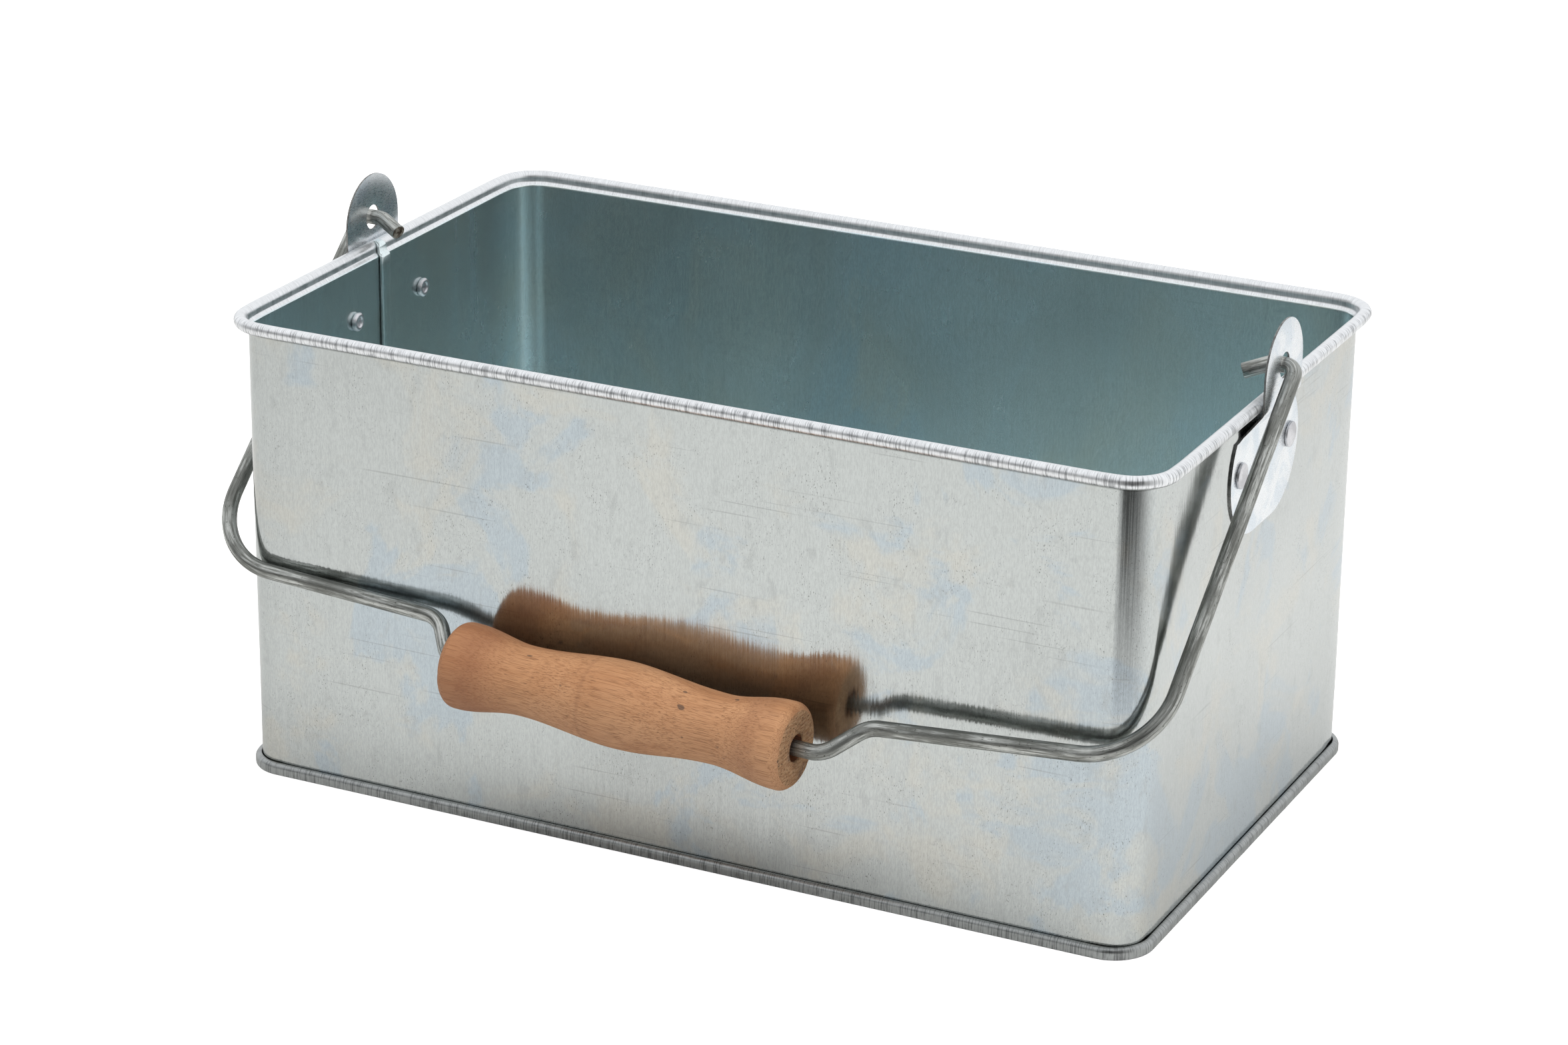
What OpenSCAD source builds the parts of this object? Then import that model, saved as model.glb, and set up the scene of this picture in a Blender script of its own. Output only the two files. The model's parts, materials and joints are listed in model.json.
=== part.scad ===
// Galvanised florist bucket: a low rectangular sheet-steel tub with a wired
// rim, a hemmed base and a wire bail that carries a turned wooden grip.
// Millimetres. The origin is the centre of the base on the ground, +X runs
// along the length, -Y is the front and +Z is up.

/* [Bucket] */
// Length between the centres of the rolled rim
rim_l = 300; // [260:1:340]
// Width between the centres of the rolled rim
rim_w = 180.6; // [150:0.2:220]
// Height from the ground to the top of the rim
bucket_h = 147; // [120:1:180]
// Thickness of the galvanised sheet
sheet_t = 0.6; // [0.5:0.1:0.8]
// Outside radius of the wall's vertical corners
corner_r = 11; // [8:1:20]

/* [Rim and hem] */
// Outside diameter of the rolled rim
bead_d = 4; // [3.8:0.1:4.6]
// Distance from the wall's outer face to the centre of the rolled rim
bead_out = 2.4; // [2.3:0.1:3]
// Height of the folded hem round the base
hem_h = 3.7; // [3.4:0.1:5]
// How far the folded hem stands out of the wall
hem_out = 2.2; // [2.2:0.1:3]

/* [Ears] */
// Thickness of the ear plates
ear_t = 0.6; // [0.5:0.1:1.2]
// Height of the bail's pivot above the ground
pivot_z = 153.6; // [151:0.2:165]
// Diameter of the pivot hole in an ear
ear_hole_d = 7.8; // [7:0.1:9]
// Half width of the upright tab of an ear
tab_r = 15.2; // [12:0.2:17]
// Distance from the wall's outer face to the inner face of the tab
tab_out = 4.5; // [4.5:0.1:5.5]
// Half the distance between the two rivets of an ear
rivet_y = 20; // [18:0.5:21]

/* [Bail] */
// Diameter of the bail wire
wire_d = 4.7; // [4:0.1:5.4]
// Angle of the resting bail from straight down, towards the front
rest_angle = 46.8; // [46.8:0.1:60]
// Distance from the middle to the arm's corner at the pivot
arm_x = 156.4; // [156.4:0.1:160]
// Radius of the bend between arm and hook
hook_r = 3.4; // [3:0.1:3.4]
// Radius of the two large lower corners
bail_corner_r = 24; // [16:1:28]
// Radius of the cranks beside the grip
crank_r = 9; // [7:0.5:10]

/* [Grip] */
// Length of the wooden grip
grip_l = 113.6; // [100:0.2:114]
// Diameter of the grip at its ends
grip_end_d = 26.2; // [22:0.2:27]
// Diameter of the grip at its two necks
grip_neck_d = 21; // [18:0.2:24]
// Diameter of the grip at its middle
grip_mid_d = 26; // [22:0.2:27]
// Diameter of the grip's bore
grip_bore_d = 8.2; // [6.5:0.1:9]

/* [Hidden] */
$fn = 64;

// The wall's outer faces
wall_l = rim_l - 2 * bead_out;
wall_w = rim_w - 2 * bead_out;
bead_z = bucket_h - bead_d / 2;
// The rolled rim holds the wire with a hair of clearance
curl_in_r = bead_d / 2 - sheet_t;
rim_wire_r = curl_in_r - 0.1;
// Angle, from the outward direction, at which the curl's free edge ends
curl_end = 235;
// Where the wall starts and ends its flare into the rim
flare_lo = bead_z - 4.2;
flare_hi = bead_z - 1.6;

// Layers of the hem, from the wall outwards: the pan's tucked edge, the
// wall's foot and the pan's outer face, with small gaps between them
fold_bevel = 0.3;
hem_bevel = 0.5;
hem_gap = 0.15;
tuck_in = 0.1;
tuck_out = tuck_in + sheet_t;
foot_in = tuck_out + hem_gap;
foot_out = foot_in + sheet_t;
hem_face_in = hem_out - sheet_t;
// The wall's foot lies on the pan's floor, and the tucked edge above it
foot_z = sheet_t + 0.1;
tuck_z = foot_z + sheet_t + 0.2;
// How far inside the wall's outer face the pan's edge section starts
floor_in = 2;

// Lock seam on the inside of the left end wall: its two edges, how far it
// stands in, the gap behind its open edge and the hairline outside
seam_y = [-5.3, 0.3];
seam_t = 1.3;
seam_undercut = 0.15;
seam_lip = 1;
seam_bevel = 0.3;
seam_joint_w = 0.2;

// Ears: a round-cornered plate on the wall, shoulders and an upright tab
plate_z = 124.5;
plate_r = 20;
plate_dy = 7.5;
tab_top_z = 152.3;
shoulder_z = 144;
shoulder_r = 8;
joggle_lo = 136;
joggle_angle = 36;
joggle_r = 1.6;

// Rivets
rivet_z = 125.5;
rivet_hole_d = 4.2;
rivet_shank_d = 4;
rivet_head_d = 7.7;
rivet_head_t = 1;
rivet_tail_d = 5.9;
rivet_dimple_d = 2.5;

// The bail's bends as [distance along X, drop from the pivot axis] in its
// own plane. The wire was bent by hand, so left and right differ a little.
hook_tip = [141.2, 4];
hook_bend = [148.7, 0];
hook_bend_r = 5;
BAIL = [
    [[-hook_tip.x, hook_tip.y], 0],
    [[-hook_bend.x, hook_bend.y], hook_bend_r],
    [[-arm_x, 0], hook_r],
    [[-159.1, 123.4], bail_corner_r],
    [[-74.8, 128.2], crank_r],
    [[-66.5, 141.3], crank_r],
    [[58, 145.9], crank_r],
    [[68.8, 135], crank_r],
    [[152.6, 128.3], bail_corner_r],
    [[arm_x, 0], hook_r],
    [hook_bend, hook_bend_r],
    [hook_tip, 0]
];
// Collars that make the bent and straight stretches of wire one solid
wire_joint_t = 0.05;
wire_joint_l = 0.4;
// The stretch of wire that carries the grip, and how far left of its middle
// the grip rests
grip_stretch = 5;
grip_shift = 2.6;
// Rounding of the grip's ends, and where along it, from the middle, its
// necks are and its full end diameter starts
grip_edge_r = 2.5;
neck_at = 32.3;
end_at = 52.3;

zinc = [0.78, 0.80, 0.81];
zinc_dark = [0.62, 0.64, 0.65];
steel = [0.55, 0.55, 0.53];
wood = [0.70, 0.46, 0.30];

// ---- helpers ----------------------------------------------------------

// Sweeps a profile, drawn as [outward from the wall's outer face, height],
// round the bucket
module around() {
    for (side = [-1, 1]) {
        translate([side * wall_l / 2, 0, 0])
            rotate([90, 0, side > 0 ? 0 : 180])
                linear_extrude(wall_w - 2 * corner_r, center = true)
                    children();
        translate([0, side * wall_w / 2, 0])
            rotate([90, 0, side * 90])
                linear_extrude(wall_l - 2 * corner_r, center = true)
                    children();
    }
    for (quarter = [0:3]) {
        sx = quarter == 0 || quarter == 3 ? 1 : -1;
        sy = quarter < 2 ? 1 : -1;
        translate([sx * (wall_l / 2 - corner_r), sy * (wall_w / 2 - corner_r), 0])
            rotate([0, 0, quarter * 90])
                rotate_extrude(angle = 90)
                    translate([corner_r, 0])
                        children();
    }
}

// A flat rounded rectangle whose edge is `inset` inside the wall's outer face
module footprint(inset) {
    r = corner_r - inset;
    square([wall_l - 2 * inset, wall_w - 2 * corner_r], center = true);
    square([wall_l - 2 * corner_r, wall_w - 2 * inset], center = true);
    for (sx = [-1, 1], sy = [-1, 1])
        translate([sx * (wall_l / 2 - corner_r), sy * (wall_w / 2 - corner_r)])
            circle(r);
}

// Points along an arc from angle a0 to angle a1
function arc(centre, r, a0, a1, steps = 6) =
    [for (k = [0:steps]) let (a = a0 + (a1 - a0) * k / steps) centre + r * [cos(a), sin(a)]];

// Places a shape drawn along +Z so that it runs outwards through an end wall
module through_end(side, y, z) {
    translate([side * wall_l / 2, y, z])
        rotate([0, side * 90, 0])
            children();
}

// ---- bucket -----------------------------------------------------------

// Folded foot, upright sheet and flared top of the wall
module wall_section() {
    top_in = bead_out - bead_d / 2;
    foot_top = hem_h - sheet_t - hem_gap;
    polygon([
        [-sheet_t, foot_z + fold_bevel],
        [-sheet_t + fold_bevel, foot_z],
        [foot_out - fold_bevel, foot_z],
        [foot_out, foot_z + fold_bevel],
        [foot_out, foot_top],
        [foot_in, foot_top],
        [foot_in, foot_z + sheet_t],
        [0, foot_z + sheet_t],
        [0, flare_lo],
        [top_in + sheet_t, flare_hi],
        [top_in + sheet_t, bead_z],
        [top_in, bead_z],
        [top_in, flare_hi],
        [-sheet_t, flare_lo]
    ]);
}

// Curl of the rim, open towards the wall underneath
module curl_section() {
    r = bead_d / 2;
    far = 2 * r;
    translate([bead_out, bead_z])
        difference() {
            circle(r);
            circle(curl_in_r);
            polygon([[0, 0], [-far, 0], [-far, far * sin(curl_end)],
                     far * [cos(curl_end), sin(curl_end)]]);
        }
}

// Folds of the lock seam in plan, standing in from the left end wall. The
// front edge is open underneath, and the rear edge slopes into the wall.
module seam_section() {
    face = -wall_l / 2 + sheet_t;
    root = face - sheet_t / 3;
    crest = face + seam_t;
    open_edge = seam_y[0];
    closed_edge = seam_y[1];
    polygon([
        [root, open_edge + seam_lip],
        [face + seam_undercut, open_edge + seam_lip],
        [face + seam_undercut, open_edge + seam_bevel],
        [face + seam_undercut + seam_bevel, open_edge],
        [crest - seam_bevel, open_edge],
        [crest, open_edge + seam_bevel],
        [crest, closed_edge - 2 * seam_bevel],
        [crest - seam_bevel, closed_edge - seam_bevel],
        [face, closed_edge + seam_bevel],
        [root, closed_edge + seam_bevel]
    ]);
}

module rivet_bores() {
    for (side = [-1, 1], y = [-rivet_y, rivet_y])
        through_end(side, y, rivet_z)
            cylinder(d = rivet_hole_d, h = 6, center = true);
}

module wall() {
    seam_foot = foot_z + sheet_t;
    joint_foot = hem_h + seam_bevel;
    color(zinc)
        difference() {
            union() {
                around() {
                    wall_section();
                    curl_section();
                }
                translate([0, 0, seam_foot])
                    linear_extrude(flare_lo - seam_foot)
                        seam_section();
            }
            rivet_bores();
            // Hairline where the two ends of the sheet meet on the outside
            translate([-wall_l / 2 - 1, seam_y[1], joint_foot])
                cube([1 + sheet_t / 2, seam_joint_w, flare_lo - joint_foot]);
        }
}

module rim_wire() {
    color(steel)
        around()
            translate([bead_out, bead_z])
                circle(rim_wire_r);
}

// Edge of the base pan, folded up round the wall's foot and back down
module pan_section() {
    top_in = hem_h - sheet_t;
    polygon([
        [-floor_in, 0],
        [hem_out - hem_bevel, 0],
        [hem_out, hem_bevel],
        [hem_out, hem_h - hem_bevel],
        [hem_out - hem_bevel, hem_h],
        [tuck_in + fold_bevel, hem_h],
        [tuck_in, hem_h - fold_bevel],
        [tuck_in, tuck_z],
        [tuck_out, tuck_z],
        [tuck_out, top_in],
        [hem_face_in - fold_bevel, top_in],
        [hem_face_in, top_in - fold_bevel],
        [hem_face_in, sheet_t + fold_bevel],
        [hem_face_in - fold_bevel, sheet_t],
        [-floor_in, sheet_t]
    ]);
}

module base_pan() {
    color(zinc_dark) {
        around() pan_section();
        linear_extrude(sheet_t) footprint(floor_in);
    }
}

// ---- ears and rivets --------------------------------------------------

// Edge view of an ear, as [outward from the wall's outer face, height]
module ear_bend() {
    a = joggle_angle;
    r_in = joggle_r;
    r_out = joggle_r + ear_t;
    // The slanted stretch takes up what the two bends leave of the step
    slant = (tab_out - (r_in + r_out) * (1 - cos(a))) / sin(a);
    lower = [r_out, joggle_lo];
    upper = lower + (r_in + r_out) * [-cos(a), sin(a)] + slant * [sin(a), cos(a)];
    low_end = plate_z - plate_r - 1;
    top_end = tab_top_z + tab_r + 1;
    polygon(concat(
        [[0, low_end]],
        arc(lower, r_out, 180, 180 - a),
        arc(upper, r_in, -a, 0),
        [[tab_out, top_end], [tab_out + ear_t, top_end]],
        arc(upper, r_out, 0, -a),
        arc(lower, r_in, 180 - a, 180),
        [[ear_t, low_end]]
    ));
}

// Front view of an ear: round plate, narrow shoulders and round-topped tab
module ear_outline() {
    neck_w = 2 * (tab_r + shoulder_r);
    wide = 100;
    difference() {
        union() {
            for (s = [-1, 1])
                translate([s * plate_dy, plate_z])
                    circle(plate_r);
            translate([-plate_dy, plate_z - plate_r])
                square([2 * plate_dy, 2 * plate_r - 1]);
            translate([-neck_w / 2, plate_z])
                square([neck_w, shoulder_z - plate_z]);
        }
        for (s = [-1, 1])
            translate([s * (tab_r + shoulder_r), shoulder_z])
                circle(shoulder_r);
        translate([-wide / 2, shoulder_z])
            square([wide, plate_r]);
    }
    translate([-tab_r, shoulder_z])
        square([2 * tab_r, tab_top_z - shoulder_z]);
    translate([0, tab_top_z])
        intersection() {
            circle(tab_r);
            translate([-wide / 2, 0])
                square([wide, wide]);
        }
}

module ear() {
    difference() {
        intersection() {
            translate([wall_l / 2, 0, 0])
                rotate([90, 0, 0])
                    linear_extrude(80, center = true)
                        ear_bend();
            translate([wall_l / 2 - 1, 0, 0])
                rotate([90, 0, 90])
                    linear_extrude(tab_out + ear_t + 3)
                        ear_outline();
        }
        translate([wall_l / 2, 0, pivot_z])
            rotate([0, 90, 0])
                cylinder(d = ear_hole_d, h = 20);
        rivet_bores();
    }
}

module ear_right() {
    color(zinc) ear();
}

module ear_left() {
    color(zinc) mirror([1, 0, 0]) ear();
}

// Semi-tubular rivet: flat head outside, rolled tail with a dimple inside
module rivet(side, y) {
    roll_r = (rivet_tail_d - rivet_dimple_d) / 4;
    roll_at = (rivet_tail_d + rivet_dimple_d) / 4;
    inner = -sheet_t;
    color(steel)
        through_end(side, y, rivet_z)
            rotate_extrude() {
                translate([0, inner])
                    square([rivet_shank_d / 2, ear_t - inner]);
                polygon([
                    [0, ear_t],
                    [rivet_head_d / 2, ear_t],
                    [rivet_head_d / 2, ear_t + rivet_head_t * 0.6],
                    [rivet_head_d / 2 - 0.4, ear_t + rivet_head_t],
                    [0, ear_t + rivet_head_t]
                ]);
                translate([0, inner - roll_r])
                    square([roll_at, roll_r]);
                translate([roll_at, inner - roll_r])
                    circle(roll_r);
            }
}

module rivet_left_front() { rivet(-1, -rivet_y); }
module rivet_left_rear() { rivet(-1, rivet_y); }
module rivet_right_front() { rivet(1, -rivet_y); }
module rivet_right_rear() { rivet(1, rivet_y); }

// ---- bail and grip ----------------------------------------------------

function unit(v) = v / norm(v);
function point(i) = BAIL[i][0];
// Direction, as an angle in the plane, of the stretch that starts at point i
function heading(i) = atan2(point(i + 1).y - point(i).y, point(i + 1).x - point(i).x);
function wrap(a) = a > 180 ? a - 360 : a < -180 ? a + 360 : a;
// Angle that the wire turns by at point i, positive to its left
function turn(i) = wrap(heading(i) - heading(i - 1));
function is_bend(i) = i > 0 && i < len(BAIL) - 1;
// Distance from a bend's corner to the ends of its arc
function tangent_len(i) = is_bend(i) ? BAIL[i][1] * tan(abs(turn(i)) / 2) : 0;
function straight_len(i) = norm(point(i + 1) - point(i)) - tangent_len(i) - tangent_len(i + 1);

// Draws in the bail's plane: X along the bucket, Y the drop from the pivots
module in_bail_plane() {
    translate([0, 0, pivot_z])
        rotate([-90 - rest_angle, 0, 0])
            children();
}

// Places a shape drawn along +Z so that it starts at a point of the plane and
// runs at an angle in it, with the shape's +X to the left
module along(from, angle) {
    translate([from.x, from.y, 0])
        rotate([0, 0, angle])
            rotate([0, 90, 0])
                rotate([0, 0, 90])
                    children();
}

// A hair-thick collar that makes two stretches of wire one solid
module wire_joint() {
    cylinder(d = wire_d + 2 * wire_joint_t, h = wire_joint_l, center = true);
}

// Turns left by an angle along an arc of wire, then goes on with its children
module bend_left(r, angle) {
    wire_joint();
    translate([r, 0, 0]) {
        rotate([90, 0, 0])
            rotate_extrude(angle = angle, start = 180 - angle)
                translate([r, 0])
                    circle(d = wire_d);
        rotate([0, angle, 0])
            translate([-r, 0, 0]) {
                wire_joint();
                children();
            }
    }
}

// The wire from the stretch that starts at point i to its far end
module wire_from(i) {
    cylinder(d = wire_d, h = straight_len(i));
    if (is_bend(i + 1)) {
        roll = turn(i + 1) > 0 ? 0 : 180;
        translate([0, 0, straight_len(i)])
            rotate([0, 0, roll])
                bend_left(BAIL[i + 1][1], abs(turn(i + 1)))
                    rotate([0, 0, roll])
                        wire_from(i + 1);
    }
}

module bail() {
    color(steel)
        in_bail_plane()
            along(point(0), heading(0))
                wire_from(0);
}

// Radius of the grip at distance t from its middle
function grip_r(t) =
    t < neck_at
    ? (grip_mid_d + grip_neck_d) / 4 + (grip_mid_d - grip_neck_d) / 4 * cos(180 * t / neck_at)
    : t < end_at
    ? (grip_neck_d + grip_end_d) / 4
      + (grip_neck_d - grip_end_d) / 4 * cos(180 * (t - neck_at) / (end_at - neck_at))
    : grip_end_d / 2;

module grip() {
    a = point(grip_stretch);
    b = point(grip_stretch + 1);
    middle = (a + b) / 2 - grip_shift * unit(b - a);
    half_l = grip_l / 2;
    waist = [for (t = [0:2:end_at]) [grip_r(t), t]];
    edge = [for (q = [0:15:90])
        [grip_end_d / 2 - grip_edge_r * (1 - cos(q)), half_l - grip_edge_r * (1 - sin(q))]];
    side = concat(waist, edge);
    mirrored = [for (i = [len(side) - 1:-1:1]) [side[i].x, -side[i].y]];
    color(wood)
        in_bail_plane()
            along(middle, heading(grip_stretch))
                rotate_extrude()
                    polygon(concat([[grip_bore_d / 2, -half_l]], mirrored, side,
                                   [[grip_bore_d / 2, half_l]]));
}

wall();
rim_wire();
base_pan();
ear_left();
ear_right();
rivet_left_front();
rivet_left_rear();
rivet_right_front();
rivet_right_rear();
bail();
grip();
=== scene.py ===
import json
import math

import bpy
import bmesh
import numpy as np
from mathutils import Matrix, Vector, noise


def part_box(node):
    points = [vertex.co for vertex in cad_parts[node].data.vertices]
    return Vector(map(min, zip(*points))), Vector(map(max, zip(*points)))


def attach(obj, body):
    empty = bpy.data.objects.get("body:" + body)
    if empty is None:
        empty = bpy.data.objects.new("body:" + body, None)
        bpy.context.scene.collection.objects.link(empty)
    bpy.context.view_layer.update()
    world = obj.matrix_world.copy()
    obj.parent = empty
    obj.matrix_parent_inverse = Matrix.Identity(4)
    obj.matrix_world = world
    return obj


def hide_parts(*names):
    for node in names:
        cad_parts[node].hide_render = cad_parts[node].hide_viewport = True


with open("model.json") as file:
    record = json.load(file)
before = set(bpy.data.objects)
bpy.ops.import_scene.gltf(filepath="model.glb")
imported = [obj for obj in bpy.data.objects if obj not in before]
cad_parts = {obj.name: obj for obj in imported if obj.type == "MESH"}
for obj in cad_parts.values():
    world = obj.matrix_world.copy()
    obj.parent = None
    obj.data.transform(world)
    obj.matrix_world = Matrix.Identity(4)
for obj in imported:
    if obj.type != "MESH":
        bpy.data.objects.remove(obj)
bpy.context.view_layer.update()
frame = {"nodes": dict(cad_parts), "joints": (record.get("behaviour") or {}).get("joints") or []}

# Sizes are in millimetres, and MM turns them into metres. The bucket's length
# runs along X, its front faces -Y, and it stands on Z = 0.
MM = 0.001

# ---- places taken from the frame --------------------------------------

wall_low, wall_high = (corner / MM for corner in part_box("wall"))
pan_low, pan_high = (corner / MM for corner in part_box("base_pan"))
# The rolled rim's radius, and how far its middle stands out of the wall
BEAD_R = 2.0
BEAD_OUT = 2.4
# The wall's half length and half width under the rim, outside, and the rim's middle height
HALF_L = wall_high.x - BEAD_OUT - BEAD_R
HALF_W = wall_high.y - BEAD_OUT - BEAD_R
BEAD_Z = wall_high.z - BEAD_R
# Thickness of the sheet, height of the hem round the foot, height of the bail's hinge
SHEET = 0.6
HEM_H = pan_high.z
PIVOT_Z = frame["joints"][0]["pos_m"][2] / MM
# The sockets of a Mix node that mixes colours: factor, first colour, second colour, result
MIX_FACTOR, MIX_FIRST, MIX_SECOND, MIX_RESULT = 0, 6, 7, 2

# ---- meshes -----------------------------------------------------------


def unit(v):
    return v / np.linalg.norm(v)


def smooth(t):
    t = min(max(t, 0.0), 1.0)
    return t * t * (3 - 2 * t)


def arc(centre, r, start, end, steps):
    """Points of an arc in a profile, angles in degrees from the outward axis."""
    angles = [math.radians(start + (end - start) * k / steps) for k in range(steps + 1)]
    return [(centre[0] + r * math.cos(a), centre[1] + r * math.sin(a)) for a in angles]


def ripple(scale, *point):
    """Smooth noise from -1 to 1 that changes over about `scale` millimetres."""
    p = list(point) + [0.0] * (3 - len(point))
    return noise.noise(Vector(p) / scale)


def piece(name, verts, faces, materials, picks=None, crease=38, strip=None):
    """A smooth-shaded mesh object from points in millimetres.

    picks gives each face's place in materials, and strip gives each point's
    [distance along, distance across] for the materials that need it.
    """
    mesh = bpy.data.meshes.new(name)
    mesh.from_pydata((np.asarray(verts, float) * MM).tolist(), [], faces)
    for material in materials:
        mesh.materials.append(material)
    if picks is not None:
        mesh.polygons.foreach_set("material_index", picks)
    if strip is not None:
        flat = np.zeros((len(verts), 3), np.float32)
        flat[:, :2] = np.asarray(strip, float) * MM
        layer = mesh.attributes.new("strip", "FLOAT_VECTOR", "POINT")
        layer.data.foreach_set("vector", flat.ravel())
    work = bmesh.new()
    work.from_mesh(mesh)
    bmesh.ops.recalc_face_normals(work, faces=work.faces)
    work.to_mesh(mesh)
    work.free()
    mesh.polygons.foreach_set("use_smooth", [True] * len(mesh.polygons))
    mesh.set_sharp_from_angle(angle=math.radians(crease))
    obj = bpy.data.objects.new(name, mesh)
    bpy.context.scene.collection.objects.link(obj)
    return obj


def grid_faces(rows, cols, close_rows, close_cols):
    """Quads over a grid of points that is stored row by row."""
    faces = []
    for i in range(rows if close_rows else rows - 1):
        for j in range(cols if close_cols else cols - 1):
            i2, j2 = (i + 1) % rows, (j + 1) % cols
            faces.append((i * cols + j, i * cols + j2, i2 * cols + j2, i2 * cols + j))
    return faces


def stand_for(obj, body, slot, *nodes):
    """Puts a piece on its body and hides the CAD nodes that it replaces. The slot is not used."""
    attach(obj, body)
    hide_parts(*nodes)


# ---- route round the bucket -------------------------------------------


def corner_turn(tail, tail_turn, radius):
    """Length of a corner, and a function that gives its heading at a distance along it.

    The sheet starts to turn gently before the tight bend and after it.
    """
    core = math.radians(90 - 2 * tail_turn) * radius
    length = 2 * tail + core

    def heading(s):
        if s < tail:
            return tail_turn * smooth(s / tail)
        if s < tail + core:
            return tail_turn + (90 - 2 * tail_turn) * (s - tail) / core
        return 90 - tail_turn * smooth((length - s) / tail)

    return length, heading


def corner_points(length, heading, count):
    """Points, headings and distances along a corner that starts at 0, 0 heading along +X."""
    # Small steps between two points, so that their sum follows the curve closely
    fine = 40
    step = length / (count * fine)
    x = y = 0.0
    rows = [(x, y, heading(0), 0.0)]
    for k in range(count * fine):
        a = math.radians(heading((k + 0.5) * step))
        x += math.cos(a) * step
        y += math.sin(a) * step
        if (k + 1) % fine == 0:
            s = (k + 1) * step
            rows.append((x, y, heading(s), s))
    return rows


def route(half_l, half_w, corner, count, step, start_y=0.0):
    """Stations (x, y, normal x, normal y, distance) round a rounded rectangle.

    It starts on the left end wall at start_y and runs towards the front.
    """
    bend = corner_points(*corner, count)
    reach = bend[-1][0]
    sides = [
        (Vector((-half_l, -half_w)), -90),
        (Vector((half_l, -half_w)), 0),
        (Vector((half_l, half_w)), 90),
        (Vector((-half_l, half_w)), 180),
    ]
    stations = []
    here = Vector((-half_l, start_y))
    travelled = 0.0

    def straight(to):
        nonlocal here, travelled
        gap = to - here
        along = gap.normalized()
        parts = max(1, round(gap.length / step))
        for k in range(parts):
            p = here + gap * (k / parts)
            stations.append((p.x, p.y, along.y, -along.x, travelled + gap.length * k / parts))
        travelled += gap.length
        here = to

    for vertex, angle in sides:
        along = Vector((math.cos(math.radians(angle)), math.sin(math.radians(angle))))
        side = Vector((-along.y, along.x))
        entry = vertex - along * reach
        straight(entry)
        for bx, by, turn, s in bend[:-1]:
            p = entry + along * bx + side * by
            a = math.radians(angle + turn)
            stations.append((p.x, p.y, math.sin(a), -math.cos(a), travelled + s))
        last = bend[-1]
        here = entry + along * last[0] + side * last[1]
        travelled += last[3]
    straight(Vector((-half_l, start_y)))
    return stations


def sweep(stations, profile, push=None):
    """Points of a profile of (outward, height) carried round the stations."""
    verts, strip = [], []
    across = [0.0]
    for a, b in zip(profile, profile[1:]):
        across.append(across[-1] + math.dist(a, b))
    for x, y, nx, ny, s in stations:
        for (out, z), v in zip(profile, across):
            d = out + (push(x, y, z, nx, s, out) if push else 0.0)
            verts.append((x + nx * d, y + ny * d, z))
            strip.append((s, v))
    return verts, strip


# ---- materials --------------------------------------------------------


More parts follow.
